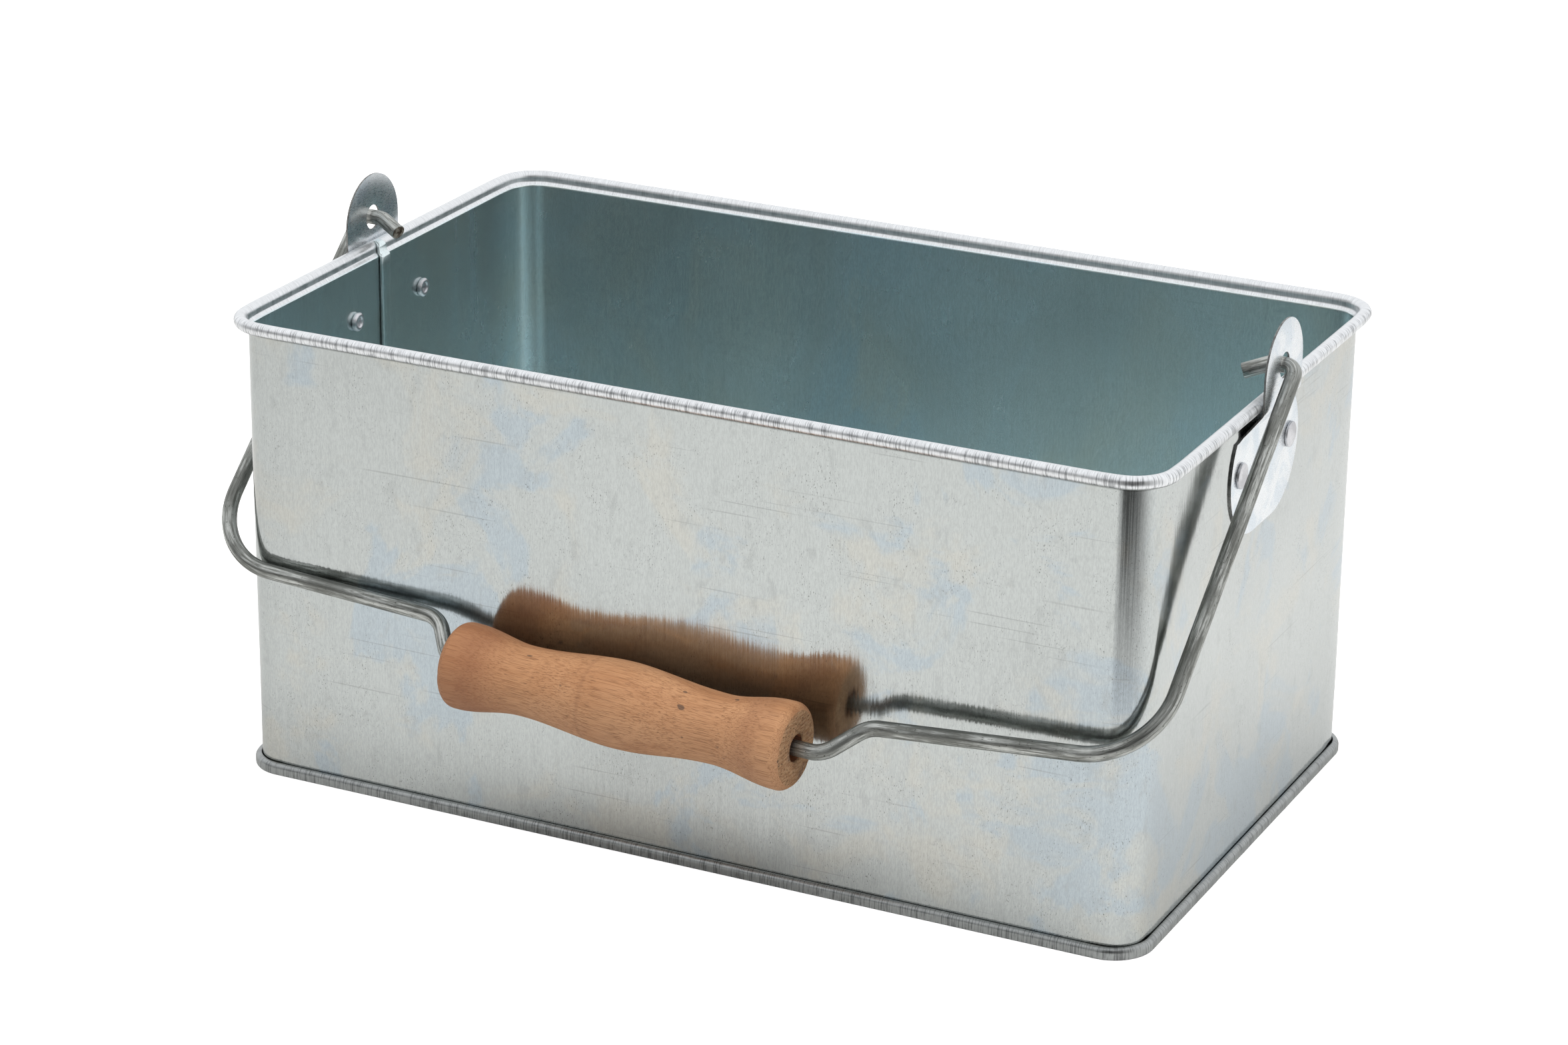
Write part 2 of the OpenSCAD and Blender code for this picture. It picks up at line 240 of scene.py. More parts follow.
class Surface:
    """A material with short calls that add and join its nodes."""

    def __init__(self, name):
        self.material = bpy.data.materials.new(name)
        self.material.use_nodes = True
        self.nodes = self.material.node_tree.nodes
        self.links = self.material.node_tree.links
        self.shader = self.nodes["Principled BSDF"]
        self.coords = self.add("ShaderNodeTexCoord").outputs["Object"]

    def add(self, kind, inputs=None, **settings):
        node = self.nodes.new(kind)
        for key, value in settings.items():
            setattr(node, key, value)
        for key, value in (inputs or {}).items():
            self.feed(node.inputs[key], value)
        return node

    def feed(self, socket, value):
        if isinstance(value, bpy.types.NodeSocket):
            self.links.new(value, socket)
        else:
            socket.default_value = value

    def set(self, **sockets):
        for key, value in sockets.items():
            self.feed(self.shader.inputs[key.replace("_", " ")], value)

    def strip(self):
        """Distance along and across, as the mesh stores them."""
        return self.add("ShaderNodeAttribute", attribute_name="strip").outputs["Vector"]

    def stretched(self, vector, scale, turn=(0, 0, 0), shift=(0, 0, 0)):
        inputs = {"Vector": vector, "Scale": scale, "Rotation": turn, "Location": shift}
        return self.add("ShaderNodeMapping", inputs).outputs["Vector"]

    def noise(self, vector, scale=1.0, detail=2.0, roughness=0.5, distortion=0.0):
        inputs = {"Vector": vector, "Scale": scale, "Detail": detail,
                  "Roughness": roughness, "Distortion": distortion}
        return self.add("ShaderNodeTexNoise", inputs).outputs["Fac"]

    def remap(self, value, low, high, to_low=0.0, to_high=1.0):
        inputs = {"Value": value, "From Min": low, "From Max": high,
                  "To Min": to_low, "To Max": to_high}
        node = self.add("ShaderNodeMapRange", inputs, interpolation_type="SMOOTHSTEP")
        return node.outputs["Result"]

    def math(self, operation, a, b=0.0):
        node = self.add("ShaderNodeMath", {0: a, 1: b}, operation=operation)
        return node.outputs["Value"]

    def mix(self, factor, a, b, blend="MIX"):
        node = self.add("ShaderNodeMix", data_type="RGBA", blend_type=blend)
        for key, value in ((MIX_FACTOR, factor), (MIX_FIRST, a), (MIX_SECOND, b)):
            if isinstance(value, tuple):
                value = (*value, 1.0)
            self.feed(node.inputs[key], value)
        return node.outputs[MIX_RESULT]

    def bump(self, height, distance, strength=1.0, normal=None):
        inputs = {"Height": height, "Distance": distance * MM, "Strength": strength}
        if normal is not None:
            inputs["Normal"] = normal
        return self.add("ShaderNodeBump", inputs).outputs["Normal"]

    def tilted(self, amount):
        """The surface normal, tipped up or down by amount times the world's Z."""
        normal = self.add("ShaderNodeNewGeometry").outputs["Normal"]
        lift = self.add("ShaderNodeCombineXYZ", {"Z": amount}).outputs["Vector"]
        total = self.add("ShaderNodeVectorMath", {0: normal, 1: lift}, operation="ADD")
        return self.add("ShaderNodeVectorMath", {0: total.outputs[0]},
                        operation="NORMALIZE").outputs[0]

    def around_the_walls(self):
        """Coordinates (distance round the walls, height, 0) that suit all four walls."""
        parts = self.add("ShaderNodeSeparateXYZ", {"Vector": self.coords})
        flat = self.math("ADD", parts.outputs["X"], parts.outputs["Y"])
        return self.add("ShaderNodeCombineXYZ",
                        {"X": flat, "Y": parts.outputs["Z"]}).outputs["Vector"]


def scratches(surface, flat, angle, shift, density):
    """Thin, long and sparse lines at an angle across a flat surface: 1 on a line, else 0."""
    turned = surface.stretched(flat, (9.0, 900.0, 1.0), (0, 0, math.radians(angle)), shift)
    lines = surface.noise(turned, 1.0, 1.0, 0.4, 0.05)
    near = surface.stretched(flat, (30.0, 30.0, 1.0), (0, 0, 0), shift)
    place = surface.remap(surface.noise(near, 1.0, 1.0), 0.5, 0.62)
    return surface.math("MULTIPLY", surface.remap(lines, density, density + 0.03), place)


def galvanised(name, tint, cool, warm, roughness,
               smear=0.0, jitter=0.0, wear=1.0, soft=0.0, painted_crease_shade=False):
    """Passivated zinc sheet: soft cloudy patches, fine upright striations, specks, scratches.

    smear is how much the rolling marks spread reflections upright, jitter how far
    neighbouring marks tip the surface, wear how much it is rubbed and scratched, soft
    how gently the clouds fade, and the last argument turns on painted shade in the crease under
    the rim.
    """
    s = Surface(name)
    flat = s.around_the_walls()
    marks = s.noise(s.stretched(s.coords, (2300, 2300, 30)), 1.0, 1.0, 0.5)
    dashes = s.noise(s.stretched(s.coords, (3600, 3600, 700)), 1.0, 2.0, 0.6)
    grain = s.noise(s.coords, 3600.0, 1.0)
    tall = (1, 1, 1 - 4 * soft)
    clouds = s.noise(s.stretched(s.coords, tall), 21.0, 6.0, 0.56, 0.8)
    clouds_b = s.noise(s.stretched(s.coords, tall, shift=(3, 7, 1)), 33.0, 6.0, 0.6, 0.6)
    broad = s.noise(s.stretched(s.coords, (1, 1, 1), shift=(8, 2, 5)), 8.0, 2.0)
    colour = s.mix(s.remap(clouds, 0.54 - soft, 0.59 + soft), tint, cool)
    colour = s.mix(s.remap(clouds_b, 0.51 - soft / 2, 0.64 + soft / 2, 0.0, 0.7), colour, warm)
    shade = s.math("ADD", s.remap(dashes, 0.36, 0.64, -0.07, 0.06), 1.0)
    shade = s.math("ADD", shade, s.remap(marks, 0.38, 0.62, -0.015, 0.015))
    shade = s.math("ADD", shade, s.remap(broad, 0.35, 0.65, -0.06, 0.06))
    grey = s.add("ShaderNodeCombineColor", {0: shade, 1: shade, 2: shade}).outputs[0]
    colour = s.mix(1.0, colour, grey, "MULTIPLY")
    # Rubbed, slightly duller areas, and small pits in the zinc
    rubbed = s.noise(s.stretched(s.coords, (170, 170, 95)), 1.0, 6.0, 0.68, 0.3)
    dull = s.remap(rubbed, 0.54, 0.68, 0.0, 0.4 * wear)
    colour = s.mix(dull, colour, tuple(c * 0.8 for c in tint))
    pits = s.remap(s.noise(s.stretched(s.coords, (3000, 3000, 1500)), 1.0, 1.0), 0.665, 0.73)
    few = s.remap(s.noise(s.stretched(s.coords, (90, 90, 60)), 1.0, 3.0), 0.40, 0.66, 0.1, 1.0)
    pits = s.math("MULTIPLY", s.math("MULTIPLY", pits, few), wear)
    colour = s.mix(s.math("MULTIPLY", pits, 0.8), colour, (0.13, 0.13, 0.12))
    lines = scratches(s, flat, 4, (0.3, 0.2, 0), 0.70)
    for angle, shift in ((-38, (0.9, 0.1, 0)), (63, (0.2, 0.8, 0)), (-7, (0.5, 0.6, 0))):
        lines = s.math("MAXIMUM", lines, scratches(s, flat, angle, shift, 0.715))
    colour = s.mix(s.math("MULTIPLY", lines, 0.35 * wear), colour, (0.26, 0.27, 0.26))
    if painted_crease_shade:
        # Painted shade: the crease just under the rolled rim turns nearly black
        height = s.add("ShaderNodeSeparateXYZ", {"Vector": s.coords}).outputs["Z"]
        crease = s.remap(height, (BEAD_Z - 3.6) * MM, (BEAD_Z - 2.8) * MM, 0.0, 0.85)
        colour = s.mix(crease, colour, (0.10, 0.105, 0.10))
    rough = s.math("ADD", s.remap(clouds, 0.35, 0.65, roughness - 0.015, roughness + 0.03),
                   s.math("MULTIPLY", dull, 0.12))
    relief = s.math("SUBTRACT", s.math("ADD", dashes, grain), s.math("MULTIPLY", pits, 2.0))
    if smear:
        tip = s.remap(marks, 0.35, 0.65, -jitter, jitter)
        normal = s.bump(relief, 0.006, 0.5, s.tilted(tip))
        tangent = s.add("ShaderNodeTangent", direction_type="RADIAL", axis="Z").outputs[0]
        s.set(Anisotropic=smear, Anisotropic_Rotation=0.25, Tangent=tangent)
    else:
        normal = s.bump(relief, 0.004, 0.4)
    s.set(Base_Color=colour, Metallic=1.0, Roughness=rough, Normal=normal)
    return s.material


def ribbed_zinc(name, tint, dark, pitch, depth, roughness, groove_darkness=0.5, painted_underside_shade=None, top=None):
    """Zinc that was rolled or crimped: fine ribs across its length, dark in the grooves.

    pitch and depth are the ribs' spacing and height, and dirty how dark the grooves are.
    The last two arguments each give two distances across the strip: from the first to the
    second the strip darkens with painted shade under the rim (the first of them) or its grooves
    grow paler (top).
    """
    s = Surface(name)
    along = s.strip()
    ribs = s.noise(s.stretched(along, (1000 / pitch, 110, 1)), 1.0, 2.0, 0.6)
    hair = s.noise(s.stretched(along, (2300 / pitch, 260, 1)), 1.0, 1.0)
    wide = s.noise(s.stretched(along, (120 / pitch, 260, 1)), 1.0, 3.0, 0.6)
    cut = s.math("ADD", ribs, s.remap(wide, 0.35, 0.65, -0.05, 0.05))
    # Darker in the grooves between the ribs, paler towards the top when top is given
    groove_mask = s.remap(cut, 0.50, 0.38)
    across = s.add("ShaderNodeSeparateXYZ", {"Vector": along}).outputs["Y"]
    if top:
        groove_mask = s.math("MULTIPLY", groove_mask, s.remap(across, top[0] * MM, top[1] * MM, 1.0, 0.25))
    colour = s.mix(s.math("MULTIPLY", groove_mask, groove_darkness), tint, dark)
    colour = s.mix(s.remap(hair, 0.58, 0.42, 0.0, 0.25), colour, dark)
    if painted_underside_shade:
        # Painted shade on the rolled rim's underside, darker towards the sheet
        crease = s.remap(across, painted_underside_shade[0] * MM, painted_underside_shade[1] * MM, 0.0, 0.8)
        colour = s.mix(crease, colour, (0.14, 0.145, 0.14))
    rough = s.remap(wide, 0.3, 0.7, roughness - 0.05, roughness + 0.08)
    relief = s.math("ADD", ribs, s.math("MULTIPLY", hair, 0.3))
    s.set(Base_Color=colour, Metallic=1.0, Roughness=rough,
          Normal=s.bump(relief, depth, 1.0))
    return s.material


def plated(name, tint, shade, roughness):
    """Zinc plating on small stampings, with faint brushed scratches."""
    s = Surface(name)
    clouds = s.noise(s.coords, 90.0, 5.0, 0.6, 0.5)
    colour = s.mix(s.remap(clouds, 0.45, 0.64), tint, shade)
    turned = s.stretched(s.coords, (60, 700, 2200), (math.radians(38), 0, 0))
    brushed = s.noise(turned, 1.0, 2.0, 0.6)
    colour = s.mix(s.remap(brushed, 0.58, 0.7, 0.0, 0.35), colour, shade)
    spots = s.remap(s.noise(s.coords, 2100.0, 1.0), 0.69, 0.74, 0.0, 0.5)
    colour = s.mix(spots, colour, (0.25, 0.25, 0.24))
    rough = s.remap(brushed, 0.3, 0.7, roughness - 0.03, roughness + 0.05)
    s.set(Base_Color=colour, Metallic=1.0, Roughness=rough,
          Normal=s.bump(brushed, 0.003, 0.5))
    return s.material


def sheared_edge_and_shade(name):
    """Edge of a stamping, where the punch bared the steel under the plating; its dark colour is
    partly painted shade along the edge.
    """
    s = Surface(name)
    tears = s.noise(s.stretched(s.coords, (2500, 700, 700)), 1.0, 3.0, 0.6)
    # Bared steel, darkened further as painted shade along the edge
    colour = s.mix(s.remap(tears, 0.35, 0.62), (0.13, 0.13, 0.125), (0.33, 0.33, 0.32))
    s.set(Base_Color=colour, Metallic=1.0, Roughness=s.remap(tears, 0.3, 0.7, 0.38, 0.55),
          Normal=s.bump(tears, 0.05, 0.8))
    return s.material


def drawn_wire(name, tint, dark, roughness):
    """Dull galvanised wire with streaks along its length and small nicks."""
    s = Surface(name)
    along = s.strip()
    streaks = s.noise(s.stretched(along, (60, 1300, 1)), 1.0, 4.0, 0.7)
    hairs = s.noise(s.stretched(along, (260, 5200, 1)), 1.0, 2.0, 0.6)
    patches = s.noise(s.stretched(along, (48, 230, 1)), 1.0, 4.0, 0.6, 0.4)
    nicks = s.remap(s.noise(s.stretched(along, (1100, 2200, 1)), 1.0, 1.0), 0.68, 0.74)
    colour = s.mix(s.remap(streaks, 0.4, 0.62), tint, dark)
    colour = s.mix(s.remap(patches, 0.46, 0.60, 0.0, 0.75), colour, dark)
    colour = s.mix(s.remap(hairs, 0.5, 0.66, 0.0, 0.55), colour, (0.10, 0.10, 0.09))
    colour = s.mix(s.math("MULTIPLY", nicks, 0.85), colour, (0.04, 0.04, 0.035))
    rough = s.remap(patches, 0.3, 0.7, roughness - 0.06, roughness + 0.12)
    height = s.math("SUBTRACT", s.math("ADD", streaks, s.math("MULTIPLY", hairs, 0.4)), nicks)
    s.set(Base_Color=colour, Metallic=1.0, Roughness=rough,
          Normal=s.bump(height, 0.03, 0.9))
    return s.material


def sheared_steel(name):
    """Cut end of the wire: bare steel with a brown film of rust."""
    s = Surface(name)
    rust = s.noise(s.coords, 900.0, 4.0, 0.65)
    colour = s.mix(s.remap(rust, 0.35, 0.6), (0.33, 0.27, 0.22), (0.07, 0.045, 0.03))
    s.set(Base_Color=colour, Metallic=0.6, Roughness=s.remap(rust, 0.3, 0.7, 0.4, 0.7),
          Normal=s.bump(rust, 0.15, 1.0))
    return s.material


def turned_wood(name):
    """Turned hardwood, its grain along the local X axis: fine fibres, pores and a few flecks."""
    s = Surface(name)
    p = s.coords
    fibres = s.noise(s.stretched(p, (42, 3600, 3600)), 1.0, 3.0, 0.65, 0.1)
    rings = s.noise(s.stretched(p, (9, 120, 120)), 1.0, 4.0, 0.55, 0.5)
    tone = s.noise(s.stretched(p, (24, 45, 45)), 1.0, 2.0)
    pores = s.remap(s.noise(s.stretched(p, (120, 5200, 5200)), 1.0, 2.0, 0.6), 0.56, 0.66)
    colour = s.mix(s.remap(rings, 0.38, 0.64), (0.425, 0.222, 0.110), (0.33, 0.155, 0.071))
    colour = s.mix(s.remap(tone, 0.44, 0.62, 0.0, 0.6), colour, (0.465, 0.256, 0.134))
    colour = s.mix(s.remap(fibres, 0.46, 0.66, 0.0, 0.55), colour, (0.215, 0.09, 0.039))
    colour = s.mix(s.math("MULTIPLY", pores, 0.6), colour, (0.12, 0.05, 0.025))
    # A dark band runs round both ends, and the lathe left one faint ring
    at = s.add("ShaderNodeSeparateXYZ", {"Vector": p}).outputs["X"]
    blur = s.math("MULTIPLY", s.noise(p, 130.0, 2.0), 0.012)
    neck = s.math("SUBTRACT", s.math("ADD", s.math("ABSOLUTE", at), blur), 0.052)
    neck = s.remap(s.math("ABSOLUTE", neck), 0.008, 0.0, 0.0, 0.32)
    colour = s.mix(neck, colour, (0.20, 0.085, 0.045))
    # Painted shade: the left end is darker, as the light falls from the right
    colour = s.mix(s.remap(at, -0.028, -0.048, 0.0, 0.42), colour, (0.22, 0.085, 0.04))
    ring = s.math("ABSOLUTE", s.math("ADD", at, 0.0088))
    colour = s.mix(s.remap(ring, 0.0012, 0.0, 0.0, 0.22), colour, (0.17, 0.075, 0.04))
    flecks = s.remap(s.noise(s.stretched(p, (150, 340, 340)), 1.0, 1.0), 0.75, 0.78)
    colour = s.mix(s.math("MULTIPLY", flecks, 0.75), colour, (0.07, 0.045, 0.035))
    height = s.math("SUBTRACT", fibres, s.math("MULTIPLY", pores, 0.8))
    s.set(Base_Color=colour, Roughness=s.remap(fibres, 0.3, 0.7, 0.55, 0.7),
          Normal=s.bump(height, 0.05, 0.7))
    s.shader.inputs["Specular IOR Level"].default_value = 0.3
    return s.material


def end_grain(name):
    """Sawn end of the grip: pale, with open dark pores and saw marks."""
    s = Surface(name)
    pores = s.remap(s.noise(s.coords, 1500.0, 2.0, 0.6), 0.55, 0.68)
    marks = s.noise(s.stretched(s.coords, (1, 260, 1500)), 1.0, 3.0, 0.6)
    stain = s.noise(s.coords, 190.0, 3.0, 0.6)
    colour = s.mix(s.remap(marks, 0.35, 0.65), (0.40, 0.245, 0.135), (0.28, 0.15, 0.078))
    colour = s.mix(s.remap(stain, 0.52, 0.7, 0.0, 0.6), colour, (0.15, 0.10, 0.075))
    colour = s.mix(s.math("MULTIPLY", pores, 0.75), colour, (0.09, 0.045, 0.025))
    height = s.math("SUBTRACT", marks, pores)
    s.set(Base_Color=colour, Roughness=s.remap(marks, 0.3, 0.7, 0.75, 0.9),
          Normal=s.bump(height, 0.2, 0.9))
    s.shader.inputs["Specular IOR Level"].default_value = 0.2
    return s.material


def bored_wood(name):
    """Raw reddish wood inside the bore."""
    s = Surface(name)
    chips = s.noise(s.stretched(s.coords, (240, 900, 900)), 1.0, 3.0)
    colour = s.mix(s.remap(chips, 0.35, 0.65), (0.34, 0.12, 0.045), (0.11, 0.04, 0.02))
    s.set(Base_Color=colour, Roughness=s.remap(chips, 0.3, 0.7, 0.7, 0.9),
          Normal=s.bump(chips, 0.15, 1.0))
    return s.material


sheet_outside = galvanised("galvanised_outside", (0.505, 0.53, 0.52), (0.455, 0.51, 0.54),
                           (0.545, 0.54, 0.495), 0.11, smear=0.55, jitter=0.012, painted_crease_shade=True)
sheet_inside = galvanised("galvanised_inside", (0.755, 0.845, 0.85), (0.67, 0.82, 0.88),
                          (0.80, 0.84, 0.79), 0.25, wear=0.25, soft=0.11)
bead_zinc = ribbed_zinc("rolled_zinc", (0.87, 0.885, 0.895), (0.30, 0.31, 0.32),
                        pitch=0.36, depth=0.022, roughness=0.34,
                        groove_darkness=0.75, painted_underside_shade=(3.3, 2.3), top=(5.8, 7.0))
hem_zinc = ribbed_zinc("crimped_zinc", (0.40, 0.415, 0.41), (0.12, 0.125, 0.125),
                       pitch=0.32, depth=0.03, roughness=0.34, groove_darkness=0.7)
ear_zinc = plated("ear_plating", (0.80, 0.825, 0.84), (0.66, 0.72, 0.77), 0.28)
ear_edge_shade = sheared_edge_and_shade("sheared_edge_and_shade")
rivet_zinc = plated("rivet_plating", (0.68, 0.68, 0.70), (0.50, 0.50, 0.52), 0.36)
wire_zinc = drawn_wire("drawn_wire", (0.56, 0.575, 0.55), (0.17, 0.175, 0.16), 0.38)
wire_cut = sheared_steel("sheared_wire")
grip_side = turned_wood("turned_wood")
grip_end = end_grain("end_grain")
grip_bore = bored_wood("bored_wood")

# ---- wall: sheet, rolled rim and lock seam ----------------------------

# Where the lock seam starts and ends along Y
SEAM_FRONT, SEAM_REAR = -5.3, 0.3
# The sheet leans out under the rim from this height, over this much height
FLARE_LOW = BEAD_Z - 2.5
FLARE_H = 1.5
# The ears' thickness, the height of their foot, and half their width
EAR_T = 0.6
EAR_FOOT_Z = 98.0
EAR_HALF_W = 31.0


def wall_sway(x, y, z, nx, s, out):
    """How far the sheet stands out of its true plane: slight hand-made unevenness."""
    fade = smooth((z - 8) / 20) * smooth((BEAD_Z - 8 - z) / 20)
    if abs(nx) > 0.9 and z > EAR_FOOT_Z - 12:
        side = smooth((abs(y) - EAR_HALF_W) / 10)
        fade *= max(side, smooth((EAR_FOOT_Z - z) / 12))
    sway = 0.13 * ripple(62, x, y, z) + 0.045 * ripple(23, x + 50, y, z)
    groove = 0.0
    if nx < -0.9 and out >= 0 and HEM_H < z < FLARE_LOW and abs(y - SEAM_REAR) < 0.12:
        groove = -0.3
    return sway * fade + groove


def wall_profile():
    """Closed profile of the sheet and its rolled rim, and each stretch's material."""
    top_in = BEAD_OUT - BEAD_R
    curl_end = -125
    bead = (BEAD_OUT, BEAD_Z)
    flat_levels = [*np.linspace(0.7, FLARE_LOW - 1.0, 30), FLARE_LOW - 0.3, FLARE_LOW]
    outside = [(0.0, z) for z in flat_levels]
    flare = [(smooth(t) * (top_in + SHEET), FLARE_LOW + t * FLARE_H) for t in (0.3, 0.55, 0.8)]
    hidden = arc(bead, BEAD_R - SHEET, 180, curl_end, 10)
    curl = arc(bead, BEAD_R, curl_end, 180, 34)
    inner_flare = [(smooth(t) * (top_in + SHEET) - SHEET, FLARE_LOW + t * FLARE_H)
                   for t in (1.0, 0.85, 0.7, 0.5, 0.3, 0.15, 0.0)]
    inside = [(-SHEET, z) for z in reversed(flat_levels[:-1])]
    profile = outside + flare + hidden + curl + inner_flare + inside
    # 0 is the sheet's outside, 1 the rolled rim and the top of its flare, 2 the inside
    picks = [0] * (len(outside) + len(flare) + len(hidden))
    picks += [1] * (len(curl) + 4)
    picks += [2] * (len(profile) - len(picks))
    return profile, picks


def make_wall():
    # Closely spaced stations make the hair-thin line where the sheet's two ends meet
    hair = [SEAM_REAR - 0.16, SEAM_REAR - 0.1, SEAM_REAR + 0.1, SEAM_REAR + 0.16]
    corner = corner_turn(tail=10, tail_turn=4, radius=10)
    stations = route(HALF_L, HALF_W, corner, count=26, step=2.4, start_y=SEAM_REAR - 1.2)
    stations = [st for st in stations if not (st[2] < -0.9 and abs(st[1] - SEAM_REAR) < 0.5)]
    length = stations[-1][4]
    for k, y in enumerate(reversed(hair)):
        stations.append((-HALF_L, y, -1.0, 0.0, length + 1 + 0.1 * k))
    profile, kinds = wall_profile()
    verts, strip = sweep(stations, profile, wall_sway)
    # The rolled rim's material measures across from the start of the curl, under the bead
    curl_start = strip[kinds.index(1)][1]
    strip = [(s, v - curl_start) for s, v in strip]
    rows, cols = len(stations), len(profile)
    faces = grid_faces(rows, cols, True, True)
    obj = piece("wall_sheet", verts, faces, [sheet_outside, bead_zinc, sheet_inside],
                kinds * rows, strip=strip)
    stand_for(obj, "bucket", "galvanised_sheet", "wall")


def make_lock_seam():
    """The folded joint of the sheet's two ends, standing in from the left end wall."""
    section = [(-0.15, -4.3), (0.12, -4.5), (0.12, -5.0), (0.36, SEAM_FRONT), (0.95, SEAM_FRONT),
               (1.22, -5.1), (1.3, -4.7), (1.3, -2.4), (1.3, -0.7), (1.12, -0.2),
               (0.75, 0.25), (0.35, 0.6), (0.05, 0.8), (-0.15, 0.85)]
    middle = (SEAM_FRONT + SEAM_REAR) / 2
    # Each level is a point on the sheet's inner side, the way that it faces, and a share
    levels = [(-SHEET, z, -1.0, 0.0, 1.0) for z in (0.8, *np.linspace(3, FLARE_LOW, 36))]
    for t in (0.2, 0.4, 0.6, 0.8):
        levels.append((smooth(t) - SHEET, FLARE_LOW + t * FLARE_H, -1.0, 0.0, 1 - 0.2 * t))
    for angle in range(170, 95, -8):
        a = math.radians(angle)
        share = 0.8 * (0.12 + 0.88 * smooth((angle - 98) / 72))
        levels.append((BEAD_OUT + BEAD_R * math.cos(a), BEAD_Z + BEAD_R * math.sin(a),
                       math.cos(a), math.sin(a), share))
    verts = []
    for out, z, face_out, face_z, share in levels:
        for depth, y in section:
            depth += 0.05 * ripple(9, y * 0.3, z) * smooth(depth)
            depth = depth * share if depth > 0 else depth
            verts.append((-HALF_L - out - face_out * depth,
                          middle + (y - middle) * (0.45 + 0.55 * share), z + face_z * depth))
    rows, cols = len(levels), len(section)
    faces = grid_faces(rows, cols, False, True)
    faces.append(tuple(range(cols)))
    faces.append(tuple((rows - 1) * cols + j for j in range(cols)))
    obj = piece("lock_seam", verts, faces, [sheet_inside], crease=50)
    stand_for(obj, "bucket", "galvanised_sheet", "wall")


# ---- base pan ---------------------------------------------------------


def make_base_pan():
    """Flat floor whose edge is folded up round the wall's foot into a crimped hem."""
    out = pan_high.x - HALF_L
    top = HEM_H
    # Radius of the bottom fold, and where the rounded top edge starts, out of the wall
    fold, shoulder = 0.7, 0.5
    section = [(-2, 0), (0, 0), *arc((out - fold, fold), fold, -90, 0, 5),
               (out, top * 0.3), (out, top * 0.45),
               *arc((shoulder, top - out + shoulder), out - shoulder, 0, 90, 8),
               (0.25, top - 0.1), (0.14, top - 0.35), (0.1, top * 0.5),
               (SHEET + 0.1, top * 0.5), (SHEET + 0.1, top - SHEET),
               (out - SHEET - 0.15, top - SHEET), (out - SHEET, top - SHEET - 0.15),
               (out - SHEET, SHEET), (-0.7, SHEET), (-2, SHEET)]
    corner = corner_turn(tail=0.001, tail_turn=0, radius=11)
    stations = route(HALF_L, HALF_W, corner, count=24, step=0.9, start_y=2.0)

    def crimp(x, y, z, nx, s, at):
        if at < out - fold or z < 0.2:
            return 0.0
        return -0.05 + 0.05 * ripple(1.5, s, z * 0.2) + 0.05 * ripple(9, s + 300, z * 0.3)

    verts, strip = sweep(stations, section, crimp)
    rows, cols = len(stations), len(section)
    faces = grid_faces(rows, cols, True, False)
    picks = ([0] * (cols - 3) + [1] * 2) * rows
    # Both faces of the floor run in from the fold to the middle in shrinking rings
    for edge, z, shape in ((0, 0.0, 0.0), (cols - 1, SHEET, 0.12)):
        ring = [i * cols + edge for i in range(rows)]
        rim = [verts[i] for i in ring]
        for share in (0.96, 0.88, 0.75, 0.55, 0.3):
            start = len(verts)
            for x, y, _ in rim:
                rise = shape * (1 + ripple(70, x * share, y * share, 5)) * smooth((1 - share) * 6)
                verts.append((x * share, y * share, z + rise))
                strip.append((x * share, y * share))
            new = list(range(start, start + rows))
            for i in range(rows):
                j = (i + 1) % rows
                faces.append((ring[i], ring[j], new[j], new[i]))
                picks.append(1)
            ring = new
        verts.append((0, 0, z + shape))
        strip.append((0, 0))
        for i in range(rows):
            faces.append((ring[i], ring[(i + 1) % rows], len(verts) - 1))
            picks.append(1)
    obj = piece("base_pan_folded", verts, faces, [hem_zinc, sheet_inside], picks, strip=strip)
    stand_for(obj, "bucket", "galvanised_base", "base_pan")


# ---- ears and rivets --------------------------------------------------


def make_ear(node):
    """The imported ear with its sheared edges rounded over."""
    source = frame["nodes"][node]
    mesh = source.data.copy()
    work = bmesh.new()
    work.from_mesh(mesh)
    bmesh.ops.remove_doubles(work, verts=work.verts, dist=0.002 * MM)
    bmesh.ops.dissolve_limit(work, angle_limit=math.radians(0.6), verts=work.verts,
                             edges=work.edges)
    sharp = [e for e in work.edges if len(e.link_faces) == 2 and e.calc_face_angle() > 0.9]
    bmesh.ops.bevel(work, geom=sharp, offset=0.1 * MM, offset_type="OFFSET", segments=3,
                    profile=0.5, affect="EDGES", clamp_overlap=True)
    bmesh.ops.triangulate(work, faces=[f for f in work.faces if len(f.verts) > 4])
    work.to_mesh(mesh)
    work.free()
    mesh.materials.clear()
    mesh.materials.append(ear_zinc)
    mesh.materials.append(ear_edge_shade)
    # The edge faces take the dark edge material, which is partly painted shade
    on_edge = [abs(face.normal.x) < 0.5 for face in mesh.polygons]
    mesh.polygons.foreach_set("material_index", on_edge)
    mesh.polygons.foreach_set("use_smooth", [True] * len(mesh.polygons))
    mesh.set_sharp_from_angle(angle=math.radians(25))
    obj = bpy.data.objects.new(node + "_stamped", mesh)
    bpy.context.scene.collection.objects.link(obj)
    stand_for(obj, "bucket", "ear_sheet", node)


